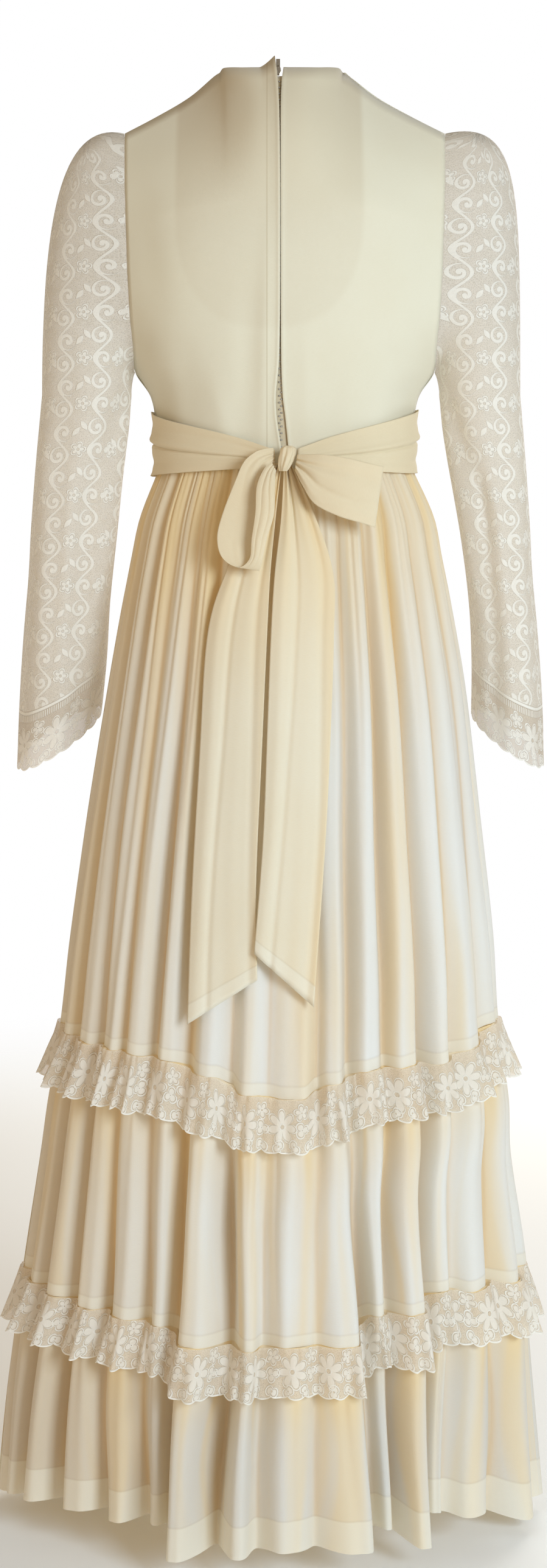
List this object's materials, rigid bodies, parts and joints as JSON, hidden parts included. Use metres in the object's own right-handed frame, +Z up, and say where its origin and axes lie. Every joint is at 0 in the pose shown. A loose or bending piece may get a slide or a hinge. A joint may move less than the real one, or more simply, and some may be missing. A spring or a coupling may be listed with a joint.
{
  "type": "prairie dress",
  "caption": "Tiered dress in worn form: plain bodice with a back zip, wide lace sleeves, a sash tied in a bow at the back, a gathered skirt with lace ruffles",
  "frame": {"origin": "the centre of the neck opening, level with the tops of the shoulders, where the wearer holds the dress up", "axes": "+Z is up. +Y is the way the wearer faces, so the back with its zip and bow faces -Y. +X is the wearer's right."},
  "size_m": [0.5387, 0.4058, 1.3971],
  "materials": {
    "voile": "matt fine plain-weave cotton voile, pale cream",
    "lace": "off-white lace on a fine net",
    "sash": "soft cream voile, a little deeper than the dress",
    "zip_tape": "woven cream tape",
    "zip_metal": "dull nickel-plated metal"
  },
  "bodies": {
    "root": {"bodice_back_left": "voile", "bodice_back_right": "voile", "bodice_front": "voile", "skirt_tier1_back": "voile", "skirt_tier1_front": "voile", "skirt_tier2_back": "voile", "skirt_tier2_front": "voile", "skirt_tier3_back": "voile", "skirt_tier3_front": "voile", "ruffle1_back": "lace", "ruffle1_front": "lace", "ruffle2_back": "lace", "ruffle2_front": "lace", "sleeve_cap_left": "lace", "sleeve_cap_right": "lace", "sleeve_upper_left": "lace", "sleeve_upper_right": "lace", "sleeve_fore_left": "lace", "sleeve_fore_right": "lace", "cuff_left": "lace", "cuff_right": "lace", "sash_wrap_left": "sash", "sash_wrap_right": "sash", "sash_front": "sash", "bow_loop_left": "sash", "bow_loop_right": "sash", "bow_knot": "sash", "bow_tail_left": "sash", "bow_tail_right": "sash", "zip_tape": "zip_tape", "zip_slider": "zip_metal"}
  },
  "joints": []
}
